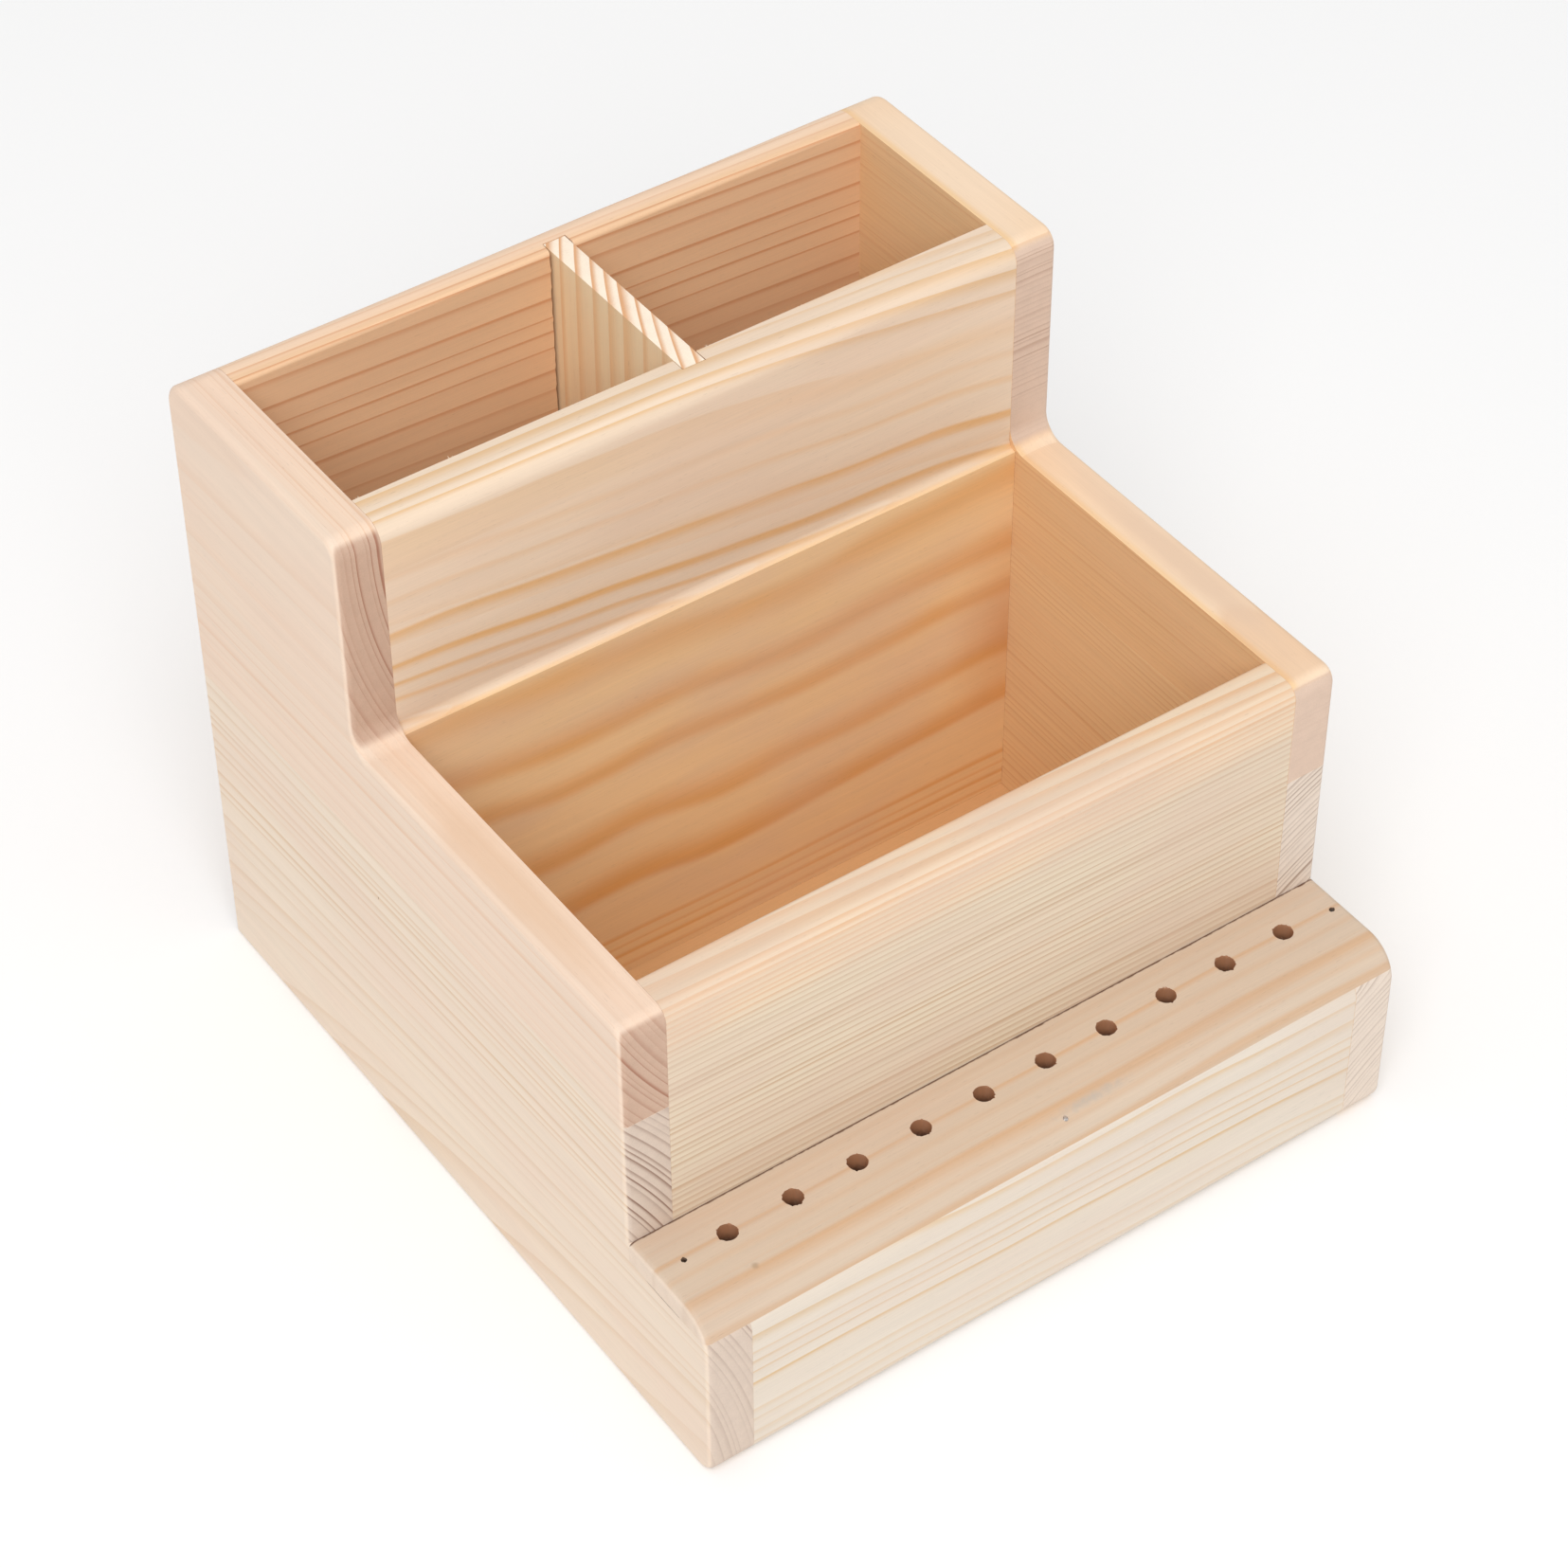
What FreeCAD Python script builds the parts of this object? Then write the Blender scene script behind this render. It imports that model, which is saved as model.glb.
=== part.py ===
import FreeCAD
import Part
import os

# Stepped desk caddy for small hand tools, nailed and glued from thin pine boards.
# Millimetres. Origin at the centre of the footprint on the floor, +X to the right,
# +Y towards the back, +Z up.

# overall sizes
width = 200.0
depth = 215.0
height = 180.0

# steps of the side outline, heights from the floor and set-backs from the front
bin_height = 120.0
rail_height = 52.0
bin_setback = 31.0
back_tier_setback = 140.0

# board thicknesses
side_thickness = 12.0
back_thickness = 12.0
middle_thickness = 12.0
bin_front_thickness = 12.0
apron_thickness = 12.0
bottom_thickness = 8.0
rail_thickness = 6.0
divider_thickness = 6.0

# each side is edge-glued from two staves that meet at this height
stave_joint_height = 90.0

# roundings sanded across the finished box
rail_front_radius = 10.0
bin_front_radius = 4.0
step_radius = 6.0
top_front_radius = 5.0
top_back_radius = 7.0
toe_radius = 5.0
rail_corner_radius = 0.5
outer_easing = 1.6
inner_easing = 1.2

# the middle board stands prouder inside the bin, below a small cove
ledge_relief = 2.4

# tool holes
hole_count = 10
hole_diameter = 5.0
hole_pitch = 18.0
hole_row_from_middle = 1.0
hole_row_setback = 21.0

# lift-out divider and the open-topped grooves it slides in
divider_from_middle = 1.0
groove_depth = 4.0
groove_side_clearance = 0.2
groove_end_clearance = 0.2
divider_foot_clearance = 0.2

# headless brads, placed from the box's left end and from its front
brad_diameter = 1.2
brad_length = 16.0
brad_left_inset = 7.5
brad_right_inset = 3.5
brad_row_setback = 20.0
apron_brads = ((19.5, 9.5), (103.5, 5.0))

# edges of the box in the row's frame
left = -width / 2
right = width / 2
front = -depth / 2
back = depth / 2
inner_left = left + side_thickness
inner_right = right - side_thickness
bin_face = front + bin_setback
tier_face = front + back_tier_setback
middle_back = tier_face + middle_thickness
back_inside = back - back_thickness
step_height = rail_height - rail_thickness
cut_margin = 5.0


def block(x0, x1, y0, y1, z0, z1):
    corner = FreeCAD.Vector(x0, y0, z0)
    return Part.makeBox(x1 - x0, y1 - y0, z1 - z0, corner)


def rounded_outline(corners, x):
    # closed wire in a plane across X; each corner is (y, z, radius)
    points = [FreeCAD.Vector(x, y, z) for y, z, radius in corners]
    count = len(corners)
    starts = []
    ends = []
    arcs = []
    for i in range(count):
        radius = corners[i][2]
        here = points[i]
        to_before = (points[i - 1] - here).normalize()
        to_after = (points[(i + 1) % count] - here).normalize()
        starts.append(here + to_before * radius)
        ends.append(here + to_after * radius)
        if radius > 0:
            centre = here + (to_before + to_after) * radius
            halfway = centre + (here - centre).normalize() * radius
            arcs.append([Part.Arc(starts[i], halfway, ends[i]).toShape()])
        else:
            arcs.append([])
    edges = []
    for i in range(count):
        edges += arcs[i]
        edges.append(Part.makeLine(ends[i], starts[(i + 1) % count]))
    return Part.Wire(edges)


def finished_box():
    # the sanded outside of the whole box, every board is trimmed to it
    corners = [
        (front, 0.0, toe_radius),
        (front, rail_height, rail_front_radius),
        (bin_face, rail_height, rail_corner_radius),
        (bin_face, bin_height, bin_front_radius),
        (tier_face, bin_height, step_radius),
        (tier_face, height, top_front_radius),
        (back, height, top_back_radius),
        (back, 0.0, 0.0),
    ]
    outline = rounded_outline(corners, left)
    solid = Part.Face(outline).extrude(FreeCAD.Vector(width, 0, 0))
    rims = []
    for edge in solid.Edges:
        box = edge.BoundBox
        on_left = abs(box.XMin - left) < 0.001 and abs(box.XMax - left) < 0.001
        on_right = abs(box.XMin - right) < 0.001 and abs(box.XMax - right) < 0.001
        if on_left or on_right:
            rims.append(edge)
    return solid.makeFillet(outer_easing, rims)


def ease_edge(solid, y, z, radius):
    # rounds the straight edges that run along X at one y and z
    picked = []
    for edge in solid.Edges:
        box = edge.BoundBox
        flat = box.YLength < 0.001 and box.ZLength < 0.001
        if flat and abs(box.YMin - y) < 0.01 and abs(box.ZMin - z) < 0.01:
            picked.append(edge)
    return solid.makeFillet(radius, picked)


def brad(x, setback):
    # a headless pin driven down through the rail, flush with the rail's face
    foot = FreeCAD.Vector(x, front + setback, rail_height - brad_length)
    pin = Part.makeCylinder(brad_diameter / 2, brad_length, foot)
    return pin.common(envelope)


def side_boards(x0, x1):
    lower_rear = block(x0, x1, bin_face, back, 0.0, stave_joint_height)
    lower_toe = block(x0, x1, front, bin_face, 0.0, step_height)
    lower = lower_rear.fuse(lower_toe).removeSplitter()
    upper = block(x0, x1, bin_face, back, stave_joint_height, height)
    return lower.common(envelope), upper.common(envelope)


def divider_groove(y0, y1):
    # one open-topped slot, down to the bottom board
    half = divider_thickness / 2 + groove_side_clearance
    x = divider_from_middle
    return block(x - half, x + half, y0, y1, bottom_thickness, height + cut_margin)


def middle_board():
    foot = block(inner_left, inner_right, tier_face - ledge_relief, middle_back,
                 bottom_thickness, bin_height + ledge_relief)
    cove_start = FreeCAD.Vector(inner_left, tier_face - ledge_relief, bin_height + ledge_relief)
    cove = Part.makeCylinder(ledge_relief, inner_right - inner_left, cove_start,
                             FreeCAD.Vector(1, 0, 0))
    wall = block(inner_left, inner_right, tier_face, middle_back, bin_height, height)
    board = foot.cut(cove).fuse(wall.common(envelope)).removeSplitter()
    return board.cut(divider_groove(middle_back - groove_depth, middle_back + cut_margin))


def back_board():
    board = block(inner_left, inner_right, back_inside, back, 0.0, height)
    board = ease_edge(board, back_inside, height, inner_easing)
    board = board.cut(divider_groove(back_inside - cut_margin, back_inside + groove_depth))
    return board.common(envelope)


def bin_front_board():
    board = block(inner_left, inner_right, bin_face, bin_face + bin_front_thickness,
                  bottom_thickness, bin_height)
    board = ease_edge(board, bin_face + bin_front_thickness, bin_height, inner_easing)
    return board.common(envelope)


def tool_rail():
    first_hole = hole_row_from_middle - (hole_count - 1) * hole_pitch / 2
    rail = block(left, right, front, bin_face, step_height, rail_height).common(envelope)
    for i in range(hole_count):
        x = first_hole + i * hole_pitch
        start = FreeCAD.Vector(x, front + hole_row_setback, step_height - cut_margin)
        drill = Part.makeCylinder(hole_diameter / 2, rail_thickness + 2 * cut_margin, start)
        rail = rail.cut(drill)
    return rail


def divider_board():
    x0 = divider_from_middle - divider_thickness / 2
    x1 = divider_from_middle + divider_thickness / 2
    y0 = middle_back - groove_depth + groove_end_clearance
    y1 = back_inside + groove_depth - groove_end_clearance
    z0 = bottom_thickness + divider_foot_clearance
    return block(x0, x1, y0, y1, z0, height)


envelope = finished_box()

left_lower, left_upper = side_boards(left, inner_left)
right_lower, right_upper = side_boards(inner_right, right)
apron = block(inner_left, inner_right, front, front + apron_thickness,
              0.0, step_height).common(envelope)
bottom = block(inner_left, inner_right, front + apron_thickness, back_inside,
               0.0, bottom_thickness)
rail = tool_rail()

left_brad = brad(left + brad_left_inset, brad_row_setback)
right_brad = brad(right - brad_right_inset, brad_row_setback)
front_brads = []
for from_left, setback in apron_brads:
    front_brads.append(brad(left + from_left, setback))

# every board a brad passes through gets the brad's own hole
left_lower = left_lower.cut(left_brad)
right_lower = right_lower.cut(right_brad)
rail = rail.cut(left_brad).cut(right_brad)
for pin in front_brads:
    rail = rail.cut(pin)
    apron = apron.cut(pin)

parts = {
    "left_side_lower_board": left_lower,
    "left_side_upper_board": left_upper,
    "right_side_lower_board": right_lower,
    "right_side_upper_board": right_upper,
    "back_board": back_board(),
    "middle_board": middle_board(),
    "bin_front_board": bin_front_board(),
    "bottom_board": bottom,
    "front_apron": apron,
    "tool_rail": rail,
    "divider": divider_board(),
    "rail_end_brads": Part.makeCompound([left_brad, right_brad]),
    "rail_front_brads": Part.makeCompound(front_brads),
}

os.makedirs("parts", exist_ok=True)
for name, shape in parts.items():
    shape.exportStep("parts/" + name + ".step")
    print(name, len(shape.Solids), "solids,", round(shape.Volume), "mm3")
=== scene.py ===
import math
import random

import bmesh
import bpy
from mathutils import Matrix, Vector, noise


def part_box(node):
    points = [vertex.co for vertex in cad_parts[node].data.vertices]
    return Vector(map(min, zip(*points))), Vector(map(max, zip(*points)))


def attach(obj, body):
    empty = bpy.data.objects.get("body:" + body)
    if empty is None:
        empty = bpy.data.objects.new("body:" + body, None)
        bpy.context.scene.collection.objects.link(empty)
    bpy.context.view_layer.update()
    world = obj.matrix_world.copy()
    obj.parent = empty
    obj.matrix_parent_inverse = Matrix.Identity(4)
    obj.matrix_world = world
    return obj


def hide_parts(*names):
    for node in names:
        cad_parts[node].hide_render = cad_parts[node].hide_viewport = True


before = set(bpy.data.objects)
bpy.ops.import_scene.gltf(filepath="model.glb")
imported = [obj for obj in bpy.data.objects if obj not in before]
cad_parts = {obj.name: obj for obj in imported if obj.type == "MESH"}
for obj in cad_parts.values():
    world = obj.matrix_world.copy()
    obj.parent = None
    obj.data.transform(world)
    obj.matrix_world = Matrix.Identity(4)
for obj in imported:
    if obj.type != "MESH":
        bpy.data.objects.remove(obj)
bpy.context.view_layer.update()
print("frame loaded with", len(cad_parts), "boards and pins")

mm = 0.001  # everything below is worked out in millimetres and scaled when a mesh is made
margin = 5.0  # how far a cutter runs past the wood
overlap = 1.0  # a cutter laps this much over the end of a blank


def cornersOf(node):
    low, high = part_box(node)
    return low / mm, high / mm


# planes of the finished box, read from the frame
sideLow, sideHigh = cornersOf("left_side_lower_board")
farSideLow, farSideHigh = cornersOf("right_side_lower_board")
railLow, railHigh = cornersOf("tool_rail")
backLow, backHigh = cornersOf("back_board")
middleLow, middleHigh = cornersOf("middle_board")
binLow, binHigh = cornersOf("bin_front_board")
apronLow, apronHigh = cornersOf("front_apron")
bottomLow, bottomHigh = cornersOf("bottom_board")
dividerLow, dividerHigh = cornersOf("divider")

leftFace, rightFace = sideLow.x, farSideHigh.x
innerLeft, innerRight = sideHigh.x, farSideLow.x
frontFace, backFace = apronLow.y, backHigh.y
binFace, binInside = binLow.y, binHigh.y
backInside = backLow.y
topFace, binTop = backHigh.z, binHigh.z
railTop, railUnder = railHigh.z, railLow.z
bottomTop = bottomHigh.z
staveJoint = sideHigh.z
boardThickness = apronHigh.y - apronLow.y
tierFace = middleHigh.y - boardThickness

# how the whole box was sanded after it was glued up
boxRounding = {
    "toe": 5.0,
    "railNose": 10.0,
    "binLip": 4.0,
    "step": 6.0,
    "tierLip": 5.0,
    "backTop": 7.0,
    "rim": 1.6,
    "innerEdge": 1.2,
    "handWaver": 0.07,    # how far a sanded radius drifts along the box, as a share
    "waverLength": 42.0,
    "arcSteps": 10,
    "rimSteps": 6,
    "slice": 8.0,         # spacing of the outlines a board is skinned over
}

meshCare = {
    "weld": 0.001,        # points closer than this are one
    "flatAngle": 0.05,    # degrees, faces closer to flat than this become one
    "edgeAngle": 40.0,    # edges sharper than this can be eased
    "sharpAngle": 35.0,   # edges sharper than this are shaded as sharp
    "fewestFaces": 6,     # a board with fewer has been lost in a cut
}


def sanded(radius, x, seed):
    drift = noise.noise(Vector((x / boxRounding["waverLength"], seed, 0.5)))
    return radius * (1 + boxRounding["handWaver"] * drift)


def roundedOutline(corners, inset=0.0):
    # corners are (y, z, radius) and run up the front, over the top and down the back
    points = []
    count = len(corners)
    for i in range(count):
        here = Vector(corners[i][:2])
        before = (here - Vector(corners[i - 1][:2])).normalized()
        after = (Vector(corners[(i + 1) % count][:2]) - here).normalized()
        inward = Vector((before.y + after.y, -before.x - after.x))
        convex = before.x * after.y - before.y * after.x < 0
        radius = corners[i][2]
        here = here + inward * inset
        if radius == 0:
            points.append(here)
            continue
        radius += -inset if convex else inset
        centre = here + (after - before) * radius
        for step in range(boxRounding["arcSteps"] + 1):
            turn = math.pi / 2 * step / boxRounding["arcSteps"]
            points.append(centre - after * radius * math.cos(turn) + before * radius * math.sin(turn))
    return points


def stationsAlong(start, end):
    count = max(2, round((end - start) / boxRounding["slice"]))
    return [start + (end - start) * i / count for i in range(count + 1)]


def circleAt(x, y, z, radii):
    # a level ring of points, one for each radius
    ring = []
    for i, radius in enumerate(radii):
        turn = 2 * math.pi * i / len(radii)
        ring.append((x + radius * math.cos(turn), y + radius * math.sin(turn), z))
    return ring


def tidyMesh(piece):
    work = bmesh.new()
    work.from_mesh(piece.data)
    bmesh.ops.remove_doubles(work, verts=work.verts, dist=meshCare["weld"] * mm)
    bmesh.ops.dissolve_limit(work, angle_limit=math.radians(meshCare["flatAngle"]),
                             verts=work.verts, edges=work.edges)
    bmesh.ops.recalc_face_normals(work, faces=work.faces)
    work.to_mesh(piece.data)
    work.free()


def loft(name, rings):
    # skins a list of rings that all have the same number of points, and closes both ends
    size = len(rings[0])
    points = [Vector(point) * mm for ring in rings for point in ring]
    faces = []
    for start in range(0, len(points) - size, size):
        for i in range(size):
            here, following = start + i, start + (i + 1) % size
            faces.append((here, following, following + size, here + size))
    faces.append(tuple(range(size)))
    faces.append(tuple(range(len(points) - size, len(points))))
    mesh = bpy.data.meshes.new(name)
    mesh.from_pydata(points, [], faces)
    piece = bpy.data.objects.new(name, mesh)
    bpy.context.scene.collection.objects.link(piece)
    tidyMesh(piece)
    return piece


def block(low, high):
    rings = []
    for z in (low[2], high[2]):
        rings.append([(low[0], low[1], z), (high[0], low[1], z), (high[0], high[1], z), (low[0], high[1], z)])
    return loft("cutter", rings)


def carve(piece, tool):
    cut = piece.modifiers.new("carve", "BOOLEAN")
    cut.operation = "DIFFERENCE"
    cut.solver = "EXACT"
    cut.object = tool
    graph = bpy.context.evaluated_depsgraph_get()
    carved = bpy.data.meshes.new_from_object(piece.evaluated_get(graph))
    piece.modifiers.clear()
    if len(carved.polygons) < meshCare["fewestFaces"]:
        raise RuntimeError("a cut failed on " + piece.name)
    piece.data = carved
    bpy.data.objects.remove(tool)


def easeEdges(piece, width, steps=3, chosen=None):
    # takes the sharp outer edges off a board; chosen picks edges by their middle point
    work = bmesh.new()
    work.from_mesh(piece.data)
    edges = []
    for edge in work.edges:
        if len(edge.link_faces) != 2 or not edge.is_convex:
            continue
        if edge.calc_face_angle() < math.radians(meshCare["edgeAngle"]):
            continue
        middle = (edge.verts[0].co + edge.verts[1].co) / 2 / mm
        if chosen is None or chosen(middle):
            edges.append(edge)
    bmesh.ops.bevel(work, geom=edges, offset=width * mm, segments=steps, profile=0.5,
                    affect="EDGES", clamp_overlap=True)
    work.to_mesh(piece.data)
    work.free()


def finishPiece(piece, name, body, material, nodes):
    piece.name = name
    piece.data.name = name
    piece.data.materials.clear()
    piece.data.materials.append(material)
    for face in piece.data.polygons:
        face.use_smooth = True
    piece.data.set_sharp_from_angle(angle=math.radians(meshCare["sharpAngle"]))
    weights = piece.modifiers.new("flatFaces", "WEIGHTED_NORMAL")
    weights.keep_sharp = True
    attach(piece, body)
    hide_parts(*nodes)


# camera, light and floor; angles in degrees, distances in metres
studio = {
    "place": (-0.4299, -0.6084, 0.7864),
    "azimuth": -35.05,
    "elevation": 43.5,
    "roll": -0.365,
    "lens": 98.57,
    "sensor": 36.0,
    "skyStrength": 0.54,
    "overhead": {"azimuth": 0.0, "elevation": 89.0, "away": 3.0, "size": 3.0, "power": 16.0},
    "front": {"azimuth": -36.0, "elevation": 48.0, "away": 3.2, "size": 2.2, "power": 57.0},
    "aimHeight": 0.09,
    "floorSize": 9.0,
    "floorColour": (0.985, 0.985, 0.985, 1.0),
    "floorRoughness": 0.9,
    "floorSpecular": 0.1,
}


def directionTo(azimuth, elevation):
    turn, rise = math.radians(azimuth), math.radians(elevation)
    return Vector((math.sin(turn) * math.cos(rise), -math.cos(turn) * math.cos(rise), math.sin(rise)))


def setCamera():
    back = directionTo(studio["azimuth"], studio["elevation"])
    right = Vector((0, 0, 1)).cross(back).normalized()
    up = back.cross(right)
    turn = Matrix((right, up, back)).transposed().to_4x4()
    roll = Matrix.Rotation(math.radians(studio["roll"]), 4, "Z")
    camera = bpy.data.objects.new("camera", bpy.data.cameras.new("camera"))
    camera.data.lens = studio["lens"]
    camera.data.sensor_width = studio["sensor"]
    camera.matrix_world = Matrix.Translation(studio["place"]) @ turn @ roll
    bpy.context.scene.collection.objects.link(camera)
    bpy.context.scene.camera = camera


def setLights():
    for name in ("overhead", "front"):
        place = studio[name]
        softbox = bpy.data.lights.new(name + "Softbox", "AREA")
        softbox.size = place["size"]
        softbox.energy = place["power"]
        lamp = bpy.data.objects.new(name + "Softbox", softbox)
        towards = directionTo(place["azimuth"], place["elevation"])
        lamp.location = towards * place["away"] + Vector((0, 0, studio["aimHeight"]))
        lamp.rotation_euler = towards.to_track_quat("Z", "Y").to_euler()
        bpy.context.scene.collection.objects.link(lamp)
    world = bpy.data.worlds.new("tent")
    world.use_nodes = True
    tent = world.node_tree.nodes["Background"]
    tent.inputs["Color"].default_value = (1.0, 1.0, 1.0, 1.0)
    tent.inputs["Strength"].default_value = studio["skyStrength"]
    bpy.context.scene.world = world
    bpy.context.scene.view_settings.view_transform = "Standard"


def layFloor():
    half = studio["floorSize"] / 2
    corners = [(-half, -half, 0), (half, -half, 0), (half, half, 0), (-half, half, 0)]
    mesh = bpy.data.meshes.new("studioFloor")
    mesh.from_pydata(corners, [], [(0, 1, 2, 3)])
    floor = bpy.data.objects.new("studioFloor", mesh)
    paper = bpy.data.materials.new("floorPaper")
    paper.use_nodes = True
    shader = paper.node_tree.nodes["Principled BSDF"]
    shader.inputs["Base Color"].default_value = studio["floorColour"]
    shader.inputs["Roughness"].default_value = studio["floorRoughness"]
    shader.inputs["Specular IOR Level"].default_value = studio["floorSpecular"]
    mesh.materials.append(paper)
    bpy.context.scene.collection.objects.link(floor)


setCamera()
setLights()
layFloor()
print("studio ready")


# raw sanded pine, as a solid texture that runs right through each board
def linear(rgb):
    # a colour given on a 0 to 255 scale, as the shader wants it
    values = []
    for part in rgb:
        part = part / 255
        values.append(part / 12.92 if part <= 0.04045 else ((part + 0.055) / 1.055) ** 2.4)
    return (*values, 1.0)


def setInputs(tree, node, inputs):
    # a socket is linked, anything else is typed in
    for key, value in inputs.items():
        if isinstance(value, bpy.types.NodeSocket):
            tree.links.new(value, node.inputs[key])
        else:
            node.inputs[key].default_value = value


def addNode(tree, kind, inputs=None, **settings):
    node = tree.nodes.new(kind)
    for key, value in settings.items():
        setattr(node, key, value)
    setInputs(tree, node, inputs or {})
    return node


def calc(tree, operation, first, second=0.0, third=None, clamp=False):
    inputs = {0: first, 1: second}
    if third is not None:
        inputs[2] = third
    return addNode(tree, "ShaderNodeMath", inputs, operation=operation, use_clamp=clamp).outputs[0]


def fade(tree, value, start, end, low=0.0, high=1.0):
    inputs = {"Value": value, "From Min": start, "From Max": end, "To Min": low, "To Max": high}
    return addNode(tree, "ShaderNodeMapRange", inputs, interpolation_type="SMOOTHSTEP").outputs["Result"]


def blendColour(tree, share, first, second):
    node = tree.nodes.new("ShaderNodeMix")
    node.data_type = "RGBA"
    setInputs(tree, node, {0: share, 6: first, 7: second})  # 6 and 7 are its colour sockets
    return node.outputs[2]


def shaded(tree, colour, amount):
    return addNode(tree, "ShaderNodeVectorMath", {0: colour, "Scale": amount}, operation="SCALE").outputs[0]


def noiseAt(tree, place, detail=2.0, roughness=0.5, scale=1.0):
    inputs = {"Vector": place, "Scale": scale, "Detail": detail, "Roughness": roughness}
    return addNode(tree, "ShaderNodeTexNoise", inputs, noise_dimensions="3D")


def noiseAlongLine(tree, place, detail):
    inputs = {"W": place, "Scale": 1.0, "Detail": detail}
    return addNode(tree, "ShaderNodeTexNoise", inputs, noise_dimensions="1D").outputs[0]


def stretched(tree, along, across, through, scales, seed):
    # a place in the board, scaled by (along the grain, across it) for a noise
    alongScale, crossScale = scales
    parts = {
        0: calc(tree, "MULTIPLY_ADD", along, alongScale, seed),
        1: calc(tree, "MULTIPLY_ADD", across, crossScale, seed),
        2: calc(tree, "MULTIPLY", through, crossScale),
    }
    return addNode(tree, "ShaderNodeCombineXYZ", parts).outputs[0]


def newGroup(name, inputs, outputs):
    group = bpy.data.node_groups.new(name, "ShaderNodeTree")
    for label, kind in inputs:
        group.interface.new_socket(label, in_out="INPUT", socket_type="NodeSocket" + kind)
    for label, kind in outputs:
        group.interface.new_socket(label, in_out="OUTPUT", socket_type="NodeSocket" + kind)
    source = group.nodes.new("NodeGroupInput")
    sink = group.nodes.new("NodeGroupOutput")
    return group, source.outputs, sink.inputs


# how a year's growth is drawn; shares are of one year
yearShape = {
    "crossWander": 1.6,      # rings wander this much faster across the board than along it
    "paceChange": 0.41,      # how soon wide years turn to narrow ones
    "spellChange": 0.11,     # how soon strong years turn to faint ones
    "spellEdges": (0.42, 0.58),
    "autumn": 0.95,          # where the dark late wood stops
    "narrowest": 0.5,        # added to the luck of a year's late wood
    "haze": 0.22,            # how far the wood deepens before the late wood
}
boardInputs = ["along", "across", "through"]
ringInputs = ["pithAcross", "pithThrough", "tilt", "lean", "ringWidth", "unevenness", "wander",
              "wanderLength", "lateShare", "faintest", "spells", "seed"]


def ringGroup():
    # year rings round a pith that lies somewhere outside the board
    labels = [(label, "Float") for label in boardInputs + ringInputs]
    tree, given, result = newGroup("yearRings", labels, [("tone", "Float")])
    shape = yearShape
    seed = given["seed"]
    reach = calc(tree, "DIVIDE", 1.0, given["wanderLength"])
    crossReach = calc(tree, "MULTIPLY", reach, shape["crossWander"])
    place = stretched(tree, given["along"], given["across"], given["through"], (reach, crossReach), seed)
    drift = noiseAt(tree, place, detail=1.5)
    split = addNode(tree, "ShaderNodeSeparateColor", {0: drift.outputs["Color"]}).outputs
    swing = calc(tree, "MULTIPLY", given["wander"], 2.0)
    acrossDrift = calc(tree, "MULTIPLY", calc(tree, "SUBTRACT", split[0], 0.5), swing)
    throughDrift = calc(tree, "MULTIPLY", calc(tree, "SUBTRACT", split[1], 0.5), swing)

    across = calc(tree, "ADD", given["across"], acrossDrift)
    across = calc(tree, "SUBTRACT", across, given["pithAcross"])
    across = calc(tree, "MULTIPLY_ADD", given["along"], given["tilt"], across)
    through = calc(tree, "MULTIPLY_ADD", throughDrift, 0.5, given["through"])
    through = calc(tree, "SUBTRACT", through, given["pithThrough"])
    through = calc(tree, "MULTIPLY_ADD", given["along"], given["lean"], through)
    square = calc(tree, "MULTIPLY_ADD", across, across, calc(tree, "MULTIPLY", through, through))
    years = calc(tree, "DIVIDE", calc(tree, "SQRT", square), given["ringWidth"])

    pace = noiseAlongLine(tree, calc(tree, "MULTIPLY_ADD", years, shape["paceChange"], seed), 1.0)
    pace = calc(tree, "MULTIPLY", calc(tree, "SUBTRACT", pace, 0.5), given["unevenness"])
    years = calc(tree, "ADD", years, pace)
    year = calc(tree, "FLOOR", years)
    season = calc(tree, "SUBTRACT", years, year)

    luck = addNode(tree, "ShaderNodeTexWhiteNoise", {"W": calc(tree, "ADD", year, seed)},
                   noise_dimensions="1D")
    chance = addNode(tree, "ShaderNodeSeparateColor", {0: luck.outputs["Color"]}).outputs
    width = calc(tree, "MULTIPLY", given["lateShare"], calc(tree, "ADD", chance[0], shape["narrowest"]))
    rise = fade(tree, season, calc(tree, "SUBTRACT", shape["autumn"], width), shape["autumn"])
    fall = fade(tree, season, shape["autumn"], 1.0, 1.0, 0.0)
    strength = fade(tree, chance[1], 0.0, 1.0, given["faintest"], 1.0)
    otherSeed = calc(tree, "MULTIPLY", seed, 1.7)
    spell = noiseAlongLine(tree, calc(tree, "MULTIPLY_ADD", years, shape["spellChange"], otherSeed), 0.0)
    spell = fade(tree, spell, *shape["spellEdges"], calc(tree, "SUBTRACT", 1.0, given["spells"]), 1.0)

    line = calc(tree, "MULTIPLY", calc(tree, "MULTIPLY", rise, fall), calc(tree, "MULTIPLY", strength, spell))
    haze = calc(tree, "MULTIPLY", fall, shape["haze"])
    haze = calc(tree, "MULTIPLY", calc(tree, "POWER", season, 2.0), haze)
    tree.links.new(calc(tree, "ADD", line, haze, clamp=True), result["tone"])
    return tree


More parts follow.
